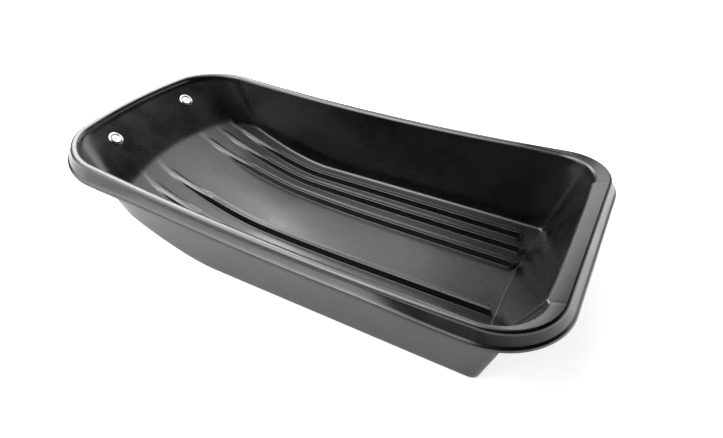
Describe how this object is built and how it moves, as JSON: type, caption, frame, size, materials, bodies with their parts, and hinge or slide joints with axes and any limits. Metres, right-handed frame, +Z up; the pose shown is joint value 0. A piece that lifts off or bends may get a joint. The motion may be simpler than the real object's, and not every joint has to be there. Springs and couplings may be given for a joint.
{
  "type": "ice fishing sled",
  "caption": "Moulded tub sled for hauling ice fishing gear: sloped walls, rolled rim, ribbed floor with side runners, upswept bow and metal tow grommets",
  "frame": {"origin": "centre of the footprint, on the snow under the runners", "axes": "+X forward to the tow end along the length, +Y to the left, +Z up"},
  "size_m": [1.192, 0.6354, 0.2142],
  "materials": {
    "plastic": "satin, lightly scuffed",
    "plated": "bright nickel plate"
  },
  "bodies": {
    "root": {"hull": "plastic", "eyelet_left": "plated", "washer_left": "plated", "eyelet_right": "plated", "washer_right": "plated"}
  },
  "joints": []
}
